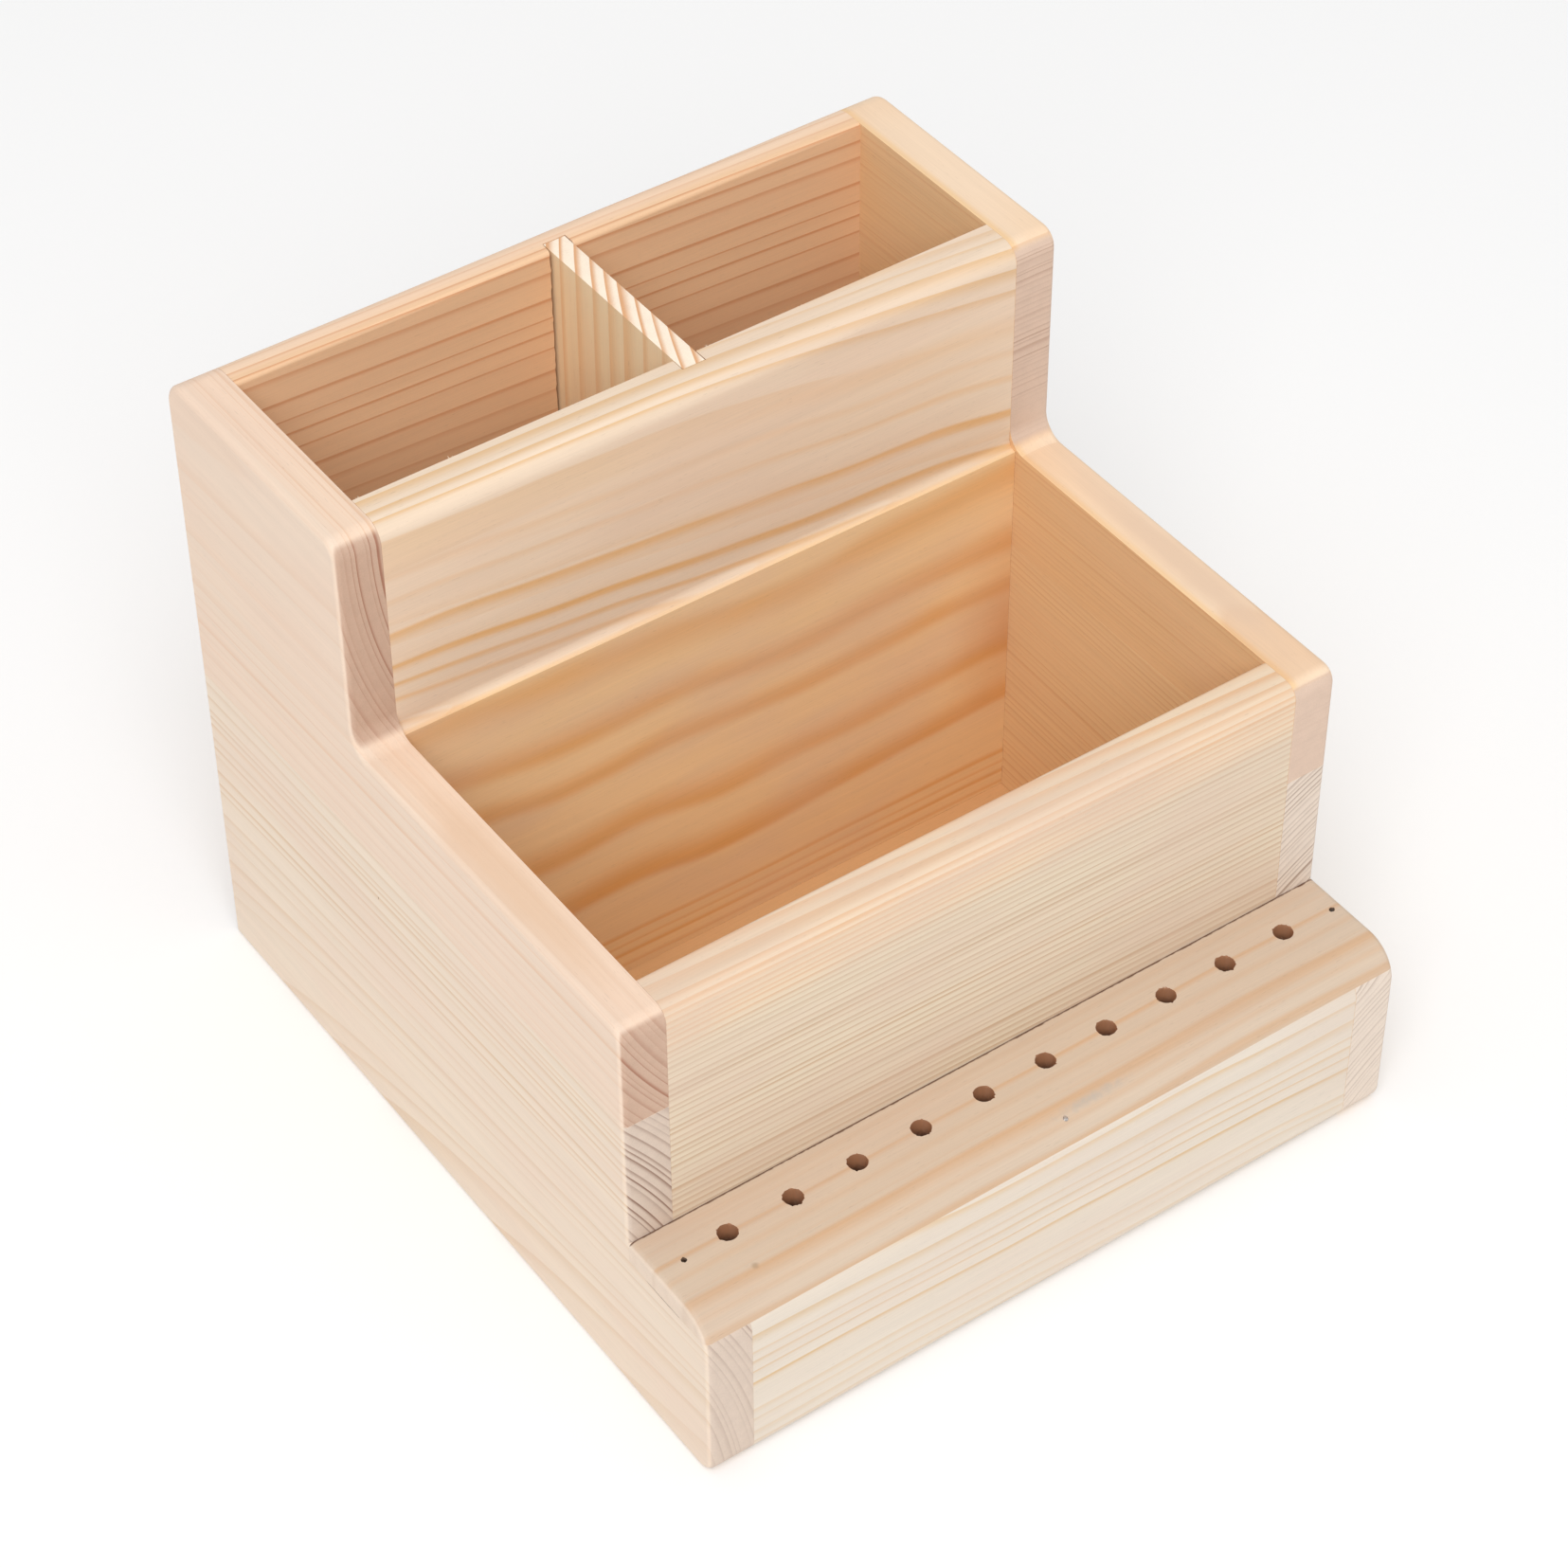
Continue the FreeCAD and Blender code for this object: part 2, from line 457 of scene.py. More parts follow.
# what the fibres do to colour, gloss and relief; pairs are noise per millimetre along and across the grain
pineSurface = {
    "fine": (0.045, 3.1),
    "broad": (0.012, 0.33),
    "broadShade": 0.10,
    "patch": (0.018, 0.05),
    "patchEdges": (0.35, 0.7),
    "dash": (0.35, 4.2),         # short dark resin lines
    "dashEdges": (0.70, 0.76),
    "dashShade": -0.12,
    "pores": 3.3,
    "poreShade": 0.22,
    "endBroadShade": 0.12,
    "roughness": 0.56,
    "fineRoughness": 0.18,
    "lateRoughness": -0.06,
    "endRoughness": 0.12,
    "lateRelief": 0.5,
    "specular": 0.35,
    "bumpStrength": 0.6,
    "endGrainFacing": (0.55, 0.85),  # how squarely a face crosses the grain before it shows end grain
}


def surfaceGroup():
    # turns the ring tone into the colour, gloss and relief of raw sanded pine
    inputs = [("along", "Float"), ("across", "Float"), ("through", "Float"), ("tone", "Float"),
              ("endShare", "Float"), ("early", "Color"), ("late", "Color"), ("blush", "Color"),
              ("endEarly", "Color"), ("endLate", "Color"), ("contrast", "Float"), ("endContrast", "Float"),
              ("blushShare", "Float"), ("fibre", "Float"), ("seed", "Float")]
    outputs = [("colour", "Color"), ("roughness", "Float"), ("height", "Float")]
    tree, given, result = newGroup("sandedPine", inputs, outputs)
    shape = pineSurface
    place = [given["along"], given["across"], given["through"]]
    fine = noiseAt(tree, stretched(tree, *place, shape["fine"], given["seed"]), 3.0, 0.6).outputs[0]
    fine = calc(tree, "SUBTRACT", fine, 0.5)
    broad = noiseAt(tree, stretched(tree, *place, shape["broad"], given["seed"])).outputs[0]
    broad = calc(tree, "SUBTRACT", broad, 0.5)
    patch = noiseAt(tree, stretched(tree, *place, shape["patch"], given["seed"])).outputs[0]
    patch = fade(tree, patch, *shape["patchEdges"])
    dash = noiseAt(tree, stretched(tree, *place, shape["dash"], given["seed"]), 1.0).outputs[0]
    dash = fade(tree, dash, *shape["dashEdges"])

    long = blendColour(tree, calc(tree, "MULTIPLY", given["tone"], given["contrast"]),
                       given["early"], given["late"])
    long = blendColour(tree, calc(tree, "MULTIPLY", patch, given["blushShare"]), long, given["blush"])
    shade = calc(tree, "MULTIPLY_ADD", fine, given["fibre"], 1.0)
    shade = calc(tree, "MULTIPLY_ADD", broad, shape["broadShade"], shade)
    shade = calc(tree, "MULTIPLY_ADD", dash, shape["dashShade"], shade)
    long = shaded(tree, long, shade)

    end = blendColour(tree, calc(tree, "MULTIPLY", given["tone"], given["endContrast"]),
                      given["endEarly"], given["endLate"])
    pores = addNode(tree, "ShaderNodeCombineXYZ", {0: given["across"], 1: given["through"], 2: given["seed"]})
    speckle = noiseAt(tree, pores.outputs[0], 2.0, 0.6, shape["pores"]).outputs[0]
    speckle = calc(tree, "MULTIPLY_ADD", calc(tree, "SUBTRACT", speckle, 0.5), shape["poreShade"], 1.0)
    speckle = calc(tree, "MULTIPLY_ADD", broad, shape["endBroadShade"], speckle)
    end = shaded(tree, end, speckle)

    tree.links.new(blendColour(tree, given["endShare"], long, end), result["colour"])
    gloss = calc(tree, "MULTIPLY_ADD", fine, shape["fineRoughness"], shape["roughness"])
    gloss = calc(tree, "MULTIPLY_ADD", given["tone"], shape["lateRoughness"], gloss)
    gloss = calc(tree, "MULTIPLY_ADD", given["endShare"], shape["endRoughness"], gloss, clamp=True)
    tree.links.new(gloss, result["roughness"])
    tree.links.new(calc(tree, "MULTIPLY_ADD", given["tone"], shape["lateRelief"], fine), result["height"])
    return tree


yearRings = ringGroup()
sandedPine = surfaceGroup()

# what a board has when it doesn't say otherwise; lengths in millimetres
plainPine = {
    "grain": "X",
    "pithAcross": 0.0,        # where the tree's heart would be, seen from the end of the board
    "pithThrough": -80.0,
    "tilt": 0.0,              # how fast the grain climbs along the board
    "lean": 0.0,              # how fast it dives into the board
    "ringWidth": 3.0,
    "unevenness": 1.2,
    "wander": 1.5,
    "wanderLength": 90.0,
    "lateShare": 0.45,        # share of a year that is dark late wood
    "faintest": 0.25,
    "spells": 0.5,            # how far whole runs of years fade away
    "seed": 1.0,
    "early": (233, 212, 190),
    "late": (214, 172, 126),
    "blush": (228, 200, 178),
    "blushShare": 0.4,
    "contrast": 0.7,
    "endEarly": (212, 186, 166),
    "endLate": (176, 140, 118),
    "endContrast": 0.8,
    "endClear": (-500.0, -400.0, 1.0),  # between these heights the end grain fades down to this share
    "fibre": 0.16,
    "bumpDepth": 0.05,
    "laidGrain": (),          # zones with grain lines placed one by one
    "farSkin": None,          # other colours for the board's far face; on some boards a lit and a shaded copy, painted light
    "marks": (),              # nicks, stains, browned hole walls and painted shade
}
# which way the grain runs, then what is across the board and through it
grainAxes = {"X": ("X", "Z", "Y"), "Y": ("Y", "Z", "X"), "Z": ("Z", "Y", "X"), "flatX": ("X", "Y", "Z")}
laidShape = {"detail": 1.6, "roughness": 0.45, "crossStretch": 0.011, "calmRise": 22.0, "calmShare": 0.12}


def laidTone(tree, laid, along, across, seed):
    # single grain lines placed one by one: (middle, soft side below, soft side above, depth of tone)
    shape = laidShape
    scales = (1 / laid["waveLength"], shape["crossStretch"])
    place = stretched(tree, along, across, 0.0, scales, seed)
    drift = noiseAt(tree, place, shape["detail"], shape["roughness"]).outputs[0]
    drift = calc(tree, "MULTIPLY", calc(tree, "SUBTRACT", drift, 0.5), 2 * laid["wave"])
    calmTop = laid["calmBelow"] + shape["calmRise"]
    calm = fade(tree, across, laid["calmBelow"], calmTop, shape["calmShare"], 1.0)
    height = calc(tree, "MULTIPLY_ADD", drift, calm, across)
    height = calc(tree, "MULTIPLY_ADD", along, laid["tilt"], height)
    tone = 0.0
    for middle, below, above, depth in laid["lines"]:
        up = fade(tree, height, middle - below, middle)
        down = fade(tree, height, middle, middle + above, depth, 0.0)
        tone = calc(tree, "MULTIPLY_ADD", up, down, tone)
    return calc(tree, "MINIMUM", tone, 1.0)


def paintMark(tree, mark, place, facing, colour):
    # a ragged oval spot round one place in the wood; "every" repeats it along a row
    offset = addNode(tree, "ShaderNodeVectorMath", {0: place, 1: mark["at"]}, operation="SUBTRACT").outputs[0]
    if "every" in mark:
        apart = addNode(tree, "ShaderNodeSeparateXYZ", {0: offset}).outputs
        half = mark["every"] / 2
        last = mark["every"] * (mark["count"] - 1)
        inRow = calc(tree, "COMPARE", apart[0], last / 2, last / 2 + half)
        wrapped = calc(tree, "WRAP", apart[0], half, -half)
        offset = addNode(tree, "ShaderNodeCombineXYZ", {0: wrapped, 1: apart[1], 2: apart[2]}).outputs[0]
    shrink = tuple(1 / reach for reach in mark["reach"])
    offset = addNode(tree, "ShaderNodeVectorMath", {0: offset, 1: shrink}, operation="MULTIPLY").outputs[0]
    ragged = noiseAt(tree, place, 2.0, 0.6, mark["raggedScale"]).outputs[0]
    size = addNode(tree, "ShaderNodeVectorMath", {0: offset}, operation="LENGTH").outputs["Value"]
    size = calc(tree, "MULTIPLY_ADD", ragged, mark["ragged"], size)
    share = fade(tree, size, 1.0, 1.0 - mark["softness"], 0.0, mark["strength"])
    if "every" in mark:
        share = calc(tree, "MULTIPLY", share, inRow)
    if mark.get("wallsOnly"):
        upright = fade(tree, calc(tree, "ABSOLUTE", facing["Z"]), 0.75, 0.35)
        share = calc(tree, "MULTIPLY", share, upright)
    return blendColour(tree, share, colour, linear(mark["colour"]))


def pineMaterial(name, changes):
    look = {**plainPine, **changes}
    material = bpy.data.materials.new(name)
    material.use_nodes = True
    tree = material.node_tree
    shader = tree.nodes["Principled BSDF"]
    texture = addNode(tree, "ShaderNodeTexCoord")
    place = shaded(tree, texture.outputs["Object"], 1 / mm)
    places = addNode(tree, "ShaderNodeSeparateXYZ", {0: place}).outputs
    facing = addNode(tree, "ShaderNodeSeparateXYZ", {0: texture.outputs["Normal"]}).outputs
    alongAxis, acrossAxis, throughAxis = grainAxes[look["grain"]]
    along, across, through = places[alongAxis], places[acrossAxis], places[throughAxis]
    board = {"along": along, "across": across, "through": through}
    endShare = fade(tree, calc(tree, "ABSOLUTE", facing[alongAxis]), *pineSurface["endGrainFacing"])

    rings = addNode(tree, "ShaderNodeGroup", node_tree=yearRings)
    setInputs(tree, rings, {**board, **{key: look[key] for key in ringInputs}})
    ringTone = rings.outputs["tone"]
    tone = ringTone
    early, late = linear(look["early"]), linear(look["late"])
    for i, laid in enumerate(look["laidGrain"]):
        low, high, soft = laid["zone"]
        share = calc(tree, "MULTIPLY", fade(tree, across, low - soft, low + soft),
                     fade(tree, across, high + soft, high - soft))
        laidLines = laidTone(tree, laid, along, across, look["seed"] + i)
        mixed = calc(tree, "MULTIPLY_ADD", ringTone, laid["rings"], laidLines)
        tone = addNode(tree, "ShaderNodeMix", {0: share, 2: tone, 3: mixed}, data_type="FLOAT").outputs[0]
        early = blendColour(tree, share, early, linear(laid["early"]))
        late = blendColour(tree, share, late, linear(laid["late"]))
    if look["farSkin"]:
        skin = look["farSkin"]
        inSkin = fade(tree, through, skin["from"], skin["to"])
        early = blendColour(tree, inSkin, early, linear(skin["early"]))
        late = blendColour(tree, inSkin, late, linear(skin["late"]))

    low, high, least = look["endClear"]
    endContrast = fade(tree, across, low, high, look["endContrast"] * least, look["endContrast"])
    surface = addNode(tree, "ShaderNodeGroup", node_tree=sandedPine)
    setInputs(tree, surface, {
        **board, "tone": tone, "endShare": endShare, "endContrast": endContrast, "early": early, "late": late,
        **{key: linear(look[key]) for key in ("blush", "endEarly", "endLate")},
        **{key: look[key] for key in ("contrast", "blushShare", "fibre", "seed")},
    })
    colour = surface.outputs["colour"]
    for mark in look["marks"]:
        colour = paintMark(tree, mark, place, facing, colour)
    tree.links.new(colour, shader.inputs["Base Color"])
    tree.links.new(surface.outputs["roughness"], shader.inputs["Roughness"])
    shader.inputs["Specular IOR Level"].default_value = pineSurface["specular"]
    bump = addNode(tree, "ShaderNodeBump", {"Height": surface.outputs["height"],
                                            "Strength": pineSurface["bumpStrength"],
                                            "Distance": look["bumpDepth"] * mm})
    tree.links.new(bump.outputs[0], shader.inputs["Normal"])
    return material


# the sanded outside that the sides, rail and apron share
def outsideOutline(x, inset=0.0):
    corners = [
        (frontFace, 0.0, sanded(boxRounding["toe"], x, 1)),
        (frontFace, railTop, sanded(boxRounding["railNose"], x, 2)),
        (binFace, railTop, 0.0),
        (binFace, binTop, sanded(boxRounding["binLip"], x, 3)),
        (tierFace, binTop, sanded(boxRounding["step"], x, 4)),
        (tierFace, topFace, sanded(boxRounding["tierLip"], x, 5)),
        (backFace, topFace, sanded(boxRounding["backTop"], x, 6)),
        (backFace, 0.0, 0.0),
    ]
    return roundedOutline(corners, inset)


def sandedBox(xFrom, xTo):
    # the whole box as one blank between two planes, with the rim rounded where it ends at the outside
    rim = boxRounding["rim"]
    steps = boxRounding["rimSteps"]
    curve = []
    for step in range(steps):
        turn = math.pi / 2 * step / steps
        curve.append((rim * (1 - math.cos(turn)), rim * (1 - math.sin(turn))))
    rows = []
    if xFrom <= leftFace:
        rows += [(leftFace + reach, inset) for reach, inset in curve]
        xFrom = leftFace + rim
    middle = stationsAlong(xFrom, rightFace - rim if xTo >= rightFace else xTo)
    rows += [(x, 0.0) for x in middle]
    if xTo >= rightFace:
        rows += [(rightFace - reach, inset) for reach, inset in reversed(curve)]
    rings = []
    for x, inset in rows:
        rings.append([(x, y, z) for y, z in outsideOutline(x, inset)])
    return loft("blank", rings)


def panel(outlineAt):
    # a board that runs across the box between the sides
    rings = []
    for x in stationsAlong(innerLeft, innerRight):
        rings.append([(x, y, z) for y, z in roundedOutline(outlineAt(x))])
    return loft("panel", rings)


# the two sides, each glued up from two staves
leftLowerStave = {
    "seamEase": 0.12,
    "pine": {
        "grain": "Y", "pithAcross": -16.8, "pithThrough": -240.0, "tilt": -0.03, "lean": 0.05,
        "ringWidth": 1.8, "unevenness": 1.6, "wander": 0.7, "wanderLength": 120.0, "lateShare": 0.4,
        "faintest": 0.2, "spells": 0.5, "seed": 3.2, "early": (237, 219, 199), "late": (217, 182, 143),
        "blush": (235, 208, 189), "contrast": 0.75, "endEarly": (216, 197, 181), "endLate": (146, 114, 98),
        "endContrast": 1.0, "endClear": (34.0, 62.0, 0.4),
        "marks": (
            {
                "at": (leftFace, 27.2, 76.9), "reach": (2.0, 0.35, 0.75), "ragged": 0.5, "raggedScale": 1.4,
                "softness": 0.5, "strength": 0.85, "colour": (120, 84, 62),
            },
            {
                "at": (leftFace, -90.0, railUnder), "reach": (1.6, 13.0, 0.34), "ragged": 0.6,
                "raggedScale": 0.35, "softness": 0.4, "strength": 0.75, "colour": (128, 108, 96),
            },
        ),
    },
}

leftUpperStave = {
    "seamEase": 0.12,
    "pine": {
        "grain": "Y", "pithAcross": 177.0, "pithThrough": 30.0, "tilt": 0.02, "lean": 0.005,
        "ringWidth": 1.8, "unevenness": 1.6, "wander": 0.7, "wanderLength": 140.0, "lateShare": 0.3,
        "faintest": 0.15, "spells": 0.7, "seed": 8.4, "early": (238, 215, 194), "late": (226, 184, 149),
        "blush": (238, 208, 186), "contrast": 0.6,
        "farSkin": {
            "from": leftFace + 1.5, "to": leftFace + 5.0, "early": (241, 213, 189), "late": (227, 183, 147),
        },
        "endEarly": (204, 172, 150), "endLate": (162, 108, 84), "endContrast": 0.85,
        "marks": (
            {
                "at": (leftFace + 6.0, -24.0, binTop), "reach": (9.0, 66.0, 7.0), "ragged": 0.4,
                "raggedScale": 0.05, "softness": 0.6, "strength": 0.7, "colour": (228, 194, 164),
            },
        ),
    },
}

rightLowerStave = {
    "seamEase": 0.12,
    "pine": {
        "grain": "Y", "pithAcross": -100.0, "pithThrough": 190.0, "tilt": -0.02, "lean": 0.02,
        "ringWidth": 1.7, "unevenness": 1.4, "wander": 0.8, "wanderLength": 120.0, "lateShare": 0.5,
        "faintest": 0.2, "spells": 0.6, "seed": 5.7, "early": (246, 213, 168), "late": (220, 170, 118),
        "blush": (242, 205, 162), "contrast": 0.6,
        # painted light: the inner face keeps darker, yellower colours as painted shade, the outer part gets
        # this paler copy
        "farSkin": {
            "from": innerRight + 2.0, "to": innerRight + 7.0, "early": (238, 214, 186),
            "late": (214, 170, 128),
        },
        "endEarly": (230, 214, 199), "endLate": (146, 114, 92), "endContrast": 0.8,
        "endClear": (38.0, 62.0, 0.45),
    },
}

rightUpperStave = {
    "seamEase": 0.12,
    "pine": {
        "grain": "Y", "pithAcross": -100.0, "pithThrough": 94.0, "tilt": 0.02, "lean": 0.0,
        "ringWidth": 1.6, "unevenness": 1.6, "wander": 0.8, "wanderLength": 150.0, "lateShare": 0.4,
        "faintest": 0.3, "spells": 0.7, "seed": 9.1, "early": (244, 207, 160), "late": (224, 170, 120),
        "blush": (244, 206, 166), "contrast": 0.5,
        # painted light: the inner face keeps darker, yellower colours as painted shade, the outer part gets
        # this paler copy
        "farSkin": {
            "from": innerRight + 0.4, "to": innerRight + 2.4, "early": (246, 219, 190),
            "late": (226, 182, 144),
        },
        "marks": (
            {
                "at": (rightFace - 5.0, -24.0, binTop), "reach": (8.0, 66.0, 3.5), "ragged": 0.4,
                "raggedScale": 0.05, "softness": 0.6, "strength": 0.7, "colour": (226, 196, 170),
            },
        ),
        "endEarly": (220, 193, 173), "endLate": (172, 130, 106), "endContrast": 0.6,
        "endClear": (128.0, 144.0, 0.15),
    },
}


def buildStave(side, level, stave, xFrom, xTo, node):
    xLow = xFrom - margin if xFrom <= leftFace else xFrom
    xHigh = xTo + margin if xTo >= rightFace else xTo
    farFront, farBack = frontFace - margin, backFace + margin
    blank = sandedBox(xFrom, xTo)
    if level == "Lower":
        carve(blank, block((xLow, farFront, staveJoint), (xHigh, farBack, topFace + margin)))
        above = (xHigh + overlap, binFace, railTop + margin)
        carve(blank, block((xLow - overlap, farFront, railUnder), above))
    else:
        carve(blank, block((xLow - overlap, farFront, -margin), (xHigh + overlap, farBack, staveJoint)))
    tidyMesh(blank)
    easeEdges(blank, stave["seamEase"])
    material = pineMaterial(side + level + "StavePine", stave["pine"])
    finishPiece(blank, side + "Side" + level + "Stave", "caddy", material, [node])


buildStave("left", "Lower", leftLowerStave, leftFace, innerLeft, "left_side_lower_board")
buildStave("left", "Upper", leftUpperStave, leftFace, innerLeft, "left_side_upper_board")
buildStave("right", "Lower", rightLowerStave, innerRight, rightFace, "right_side_lower_board")
buildStave("right", "Upper", rightUpperStave, innerRight, rightFace, "right_side_upper_board")
print("sides glued up")

# the two open grooves the divider stands in
groove = {
    "side": 0.2,
    "depth": 4.0,
    "skin": 0.5,       # only wood this near the face tears
    "tear": 0.22,      # widest tear
    "tearSkew": 2.2,   # higher leaves fewer wide tears
    "tearStep": 1.6,
    "leastStep": 0.4,
    "chipLeast": 0.7,
    "chipSpread": 0.6,
    "chipUnder": 0.8,
}


def grooveCutter(faceY, intoBoard, seed, chippedLeft):
    # a saw and chisel slot whose mouth has torn a little along the grain
    draw = random.Random(seed)
    left, right = dividerLow.x - groove["side"], dividerHigh.x + groove["side"]
    deepest = faceY + intoBoard * groove["depth"]
    skin = faceY + intoBoard * groove["skin"]
    outside = faceY - intoBoard * margin
    rings = []
    z = bottomTop
    while z < topFace + margin:
        tornLeft = left - groove["tear"] * draw.random() ** groove["tearSkew"]
        tornLeft -= chippedLeft * (groove["chipLeast"] + groove["chipSpread"] * draw.random())
        tornRight = right + groove["tear"] * draw.random() ** groove["tearSkew"]
        rings.append([
            (left, deepest, z), (right, deepest, z),
            (right, skin, z), (tornRight, faceY, z),
            (tornRight, outside, z), (tornLeft, outside, z),
            (tornLeft, faceY, z), (left - chippedLeft * groove["chipUnder"], skin, z),
        ])
        z += groove["tearStep"] * (groove["leastStep"] + draw.random())
    return loft("grooveCutter", rings)


backBoard = {
    "seamEase": 0.12,
    "grooveSeed": 21,
    "grooveChip": 0.4,   # how far the groove's left edge has broken away
    "pine": {
        "pithAcross": -31.0, "pithThrough": -248.0, "tilt": 0.02, "lean": 0.012, "ringWidth": 2.7,
        "unevenness": 0.8, "wander": 1.0, "wanderLength": 150.0, "lateShare": 0.22, "faintest": 0.45,
        "spells": 0.3, "seed": 12.5, "early": (242, 202, 162), "late": (206, 132, 82),
        "blush": (246, 198, 160), "contrast": 0.65, "blushShare": 0.15,
        # painted light: the inside face keeps darker, more orange colours as painted shade, the outer part
        # gets this paler copy
        "farSkin": {
            "from": backInside + 1.0, "to": backInside + 5.5, "early": (244, 214, 186),
            "late": (224, 166, 122),
        },
        "endEarly": (206, 170, 146), "endLate": (168, 122, 98),
    },
}


def buildBackBoard():
    def outline(x):
        return [
            (backInside, 0.0, 0.0),
            (backInside, topFace, sanded(boxRounding["innerEdge"], x, 11)),
            (backFace, topFace, sanded(boxRounding["backTop"], x, 6)),
            (backFace, 0.0, 0.0),
        ]
    board = panel(outline)
    carve(board, grooveCutter(backInside, 1, backBoard["grooveSeed"], backBoard["grooveChip"]))
    tidyMesh(board)
    easeEdges(board, backBoard["seamEase"])
    material = pineMaterial("backBoardPine", backBoard["pine"])
    finishPiece(board, "backBoard", "caddy", material, ["back_board"])


# splinters are (place along the edge, length)
middleBoard = {
    "seamEase": 0.12,
    "grooveSeed": 34,
    "grooveChip": 0.0,
    "splinters": ((-62.0, 1.5), (34.0, 1.3), (-86.5, 1.2), (7.5, 1.4)),
    "splinterSeed": 77,
    "splinterShape": {
        "perPlace": 3, "scatter": 0.6, "outward": (0.3, 0.9), "upward": (0.0, 0.25), "setIn": 0.1,
        "sunk": 0.45, "thick": 0.16, "flatness": 0.6, "curl": 0.1,
    },
    "pine": {
        "pithAcross": 160.0, "pithThrough": -6.0, "tilt": 0.115, "ringWidth": 3.6, "unevenness": 1.3,
        "wander": 3.0, "wanderLength": 110.0, "lateShare": 0.6, "faintest": 0.05, "spells": 0.5,
        "seed": 4.4, "early": (236, 214, 190), "late": (224, 178, 120), "blush": (230, 200, 176),
        "contrast": 0.85, "endEarly": (206, 172, 148), "endLate": (172, 122, 98),
        "laidGrain": (
            {
                "zone": (binTop + 0.2, 166.0, 0.4), "early": (236, 213, 188), "late": (228, 176, 112),
                "rings": 0.25, "wave": 6.0, "waveLength": 95.0, "calmBelow": -500.0, "tilt": 0.09,
                "lines": (
                    (166.0, 5.0, 4.0, 0.3), (158.0, 2.0, 1.5, 0.25), (151.0, 2.2, 1.0, 0.35),
                    (141.0, 3.4, 1.1, 0.9), (131.0, 3.0, 1.0, 0.85), (125.5, 1.8, 0.8, 0.7),
                    (121.0, 1.6, 0.9, 0.55), (114.0, 1.4, 0.8, 0.6),
                ),
            },
            {
                "zone": (-500.0, binTop + 0.2, 0.4), "early": (250, 215, 167), "late": (232, 166, 88),
                "rings": 0.0, "wave": 11.0, "waveLength": 88.0, "calmBelow": 18.0, "tilt": 0.02,
                "lines": (
                    (114.0, 10.0, 6.0, 0.6), (93.0, 5.0, 8.0, 0.75), (78.0, 4.0, 7.0, 0.75),
                    (57.0, 4.0, 9.0, 0.8), (39.0, 3.0, 10.0, 0.9), (21.0, 0.9, 1.8, 0.7),
                    (17.4, 0.6, 1.2, 0.45), (14.2, 0.8, 1.6, 0.7), (10.4, 0.7, 1.4, 0.5),
                ),
            },
        ),
        "marks": (
            # painted shade: a soft darker patch in the bin's right-hand corner of this board
            {
                "at": (innerRight, middleLow.y, 64.0), "reach": (30.0, 6.0, 62.0), "ragged": 0.5,
                "raggedScale": 0.03, "softness": 0.95, "strength": 0.6, "colour": (206, 138, 78),
            },
        ),
    },
}


def growSplinter(work, draw, x, size):
    # one hair-thin sliver left standing on the board's back edge by the saw
    shape = middleBoard["splinterShape"]
    aim = (draw.uniform(-1, 1), draw.uniform(*shape["outward"]), draw.uniform(*shape["upward"]))
    heading = Vector(aim).normalized()
    sideways = heading.cross(Vector((0, 0, 1))).normalized()
    x += draw.uniform(-shape["scatter"], shape["scatter"])
    root = Vector((x, middleHigh.y - shape["setIn"], topFace - shape["sunk"]))
    length = size * draw.uniform(0.5, 1.0)
    rings = []
    for t in (0.0, 0.4, 0.75):
        width = shape["thick"] * (1 - t)
        centre = root + heading * length * t + Vector((0, 0, shape["curl"] * length * t * t))
        edge = heading.cross(sideways) * width * shape["flatness"]
        points = [centre + sideways * width, centre + edge, centre - sideways * width]
        rings.append([work.verts.new(point * mm) for point in points])
    tip = work.verts.new((root + heading * length + Vector((0, 0, shape["curl"] * length))) * mm)
    for a, b in zip(rings, rings[1:]):
        for i in range(3):
            work.faces.new((a[i], a[(i + 1) % 3], b[(i + 1) % 3], b[i]))
    for i in range(3):
        work.faces.new((rings[-1][i], rings[-1][(i + 1) % 3], tip))
    work.faces.new(rings[0])


def addSplinters(piece):
    draw = random.Random(middleBoard["splinterSeed"])
    work = bmesh.new()
    work.from_mesh(piece.data)
    for x, size in middleBoard["splinters"]:
        for _ in range(middleBoard["splinterShape"]["perPlace"]):
            growSplinter(work, draw, x, size)
    bmesh.ops.recalc_face_normals(work, faces=work.faces)
    work.to_mesh(piece.data)
    work.free()


def buildMiddleBoard():
    proud = tierFace - middleLow.y

    def outline(x):
        return [
            (middleLow.y, bottomTop, 0.0),
            (middleLow.y, binTop, 0.0),
            (tierFace, binTop, proud),
            (tierFace, topFace, sanded(boxRounding["tierLip"], x, 5)),
            (middleHigh.y, topFace, 0.0),
            (middleHigh.y, bottomTop, 0.0),
        ]
    board = panel(outline)
    carve(board, grooveCutter(middleHigh.y, -1, middleBoard["grooveSeed"], middleBoard["grooveChip"]))
    tidyMesh(board)
    easeEdges(board, middleBoard["seamEase"])
    addSplinters(board)
    material = pineMaterial("middleBoardPine", middleBoard["pine"])
    finishPiece(board, "middleBoard", "caddy", material, ["middle_board"])


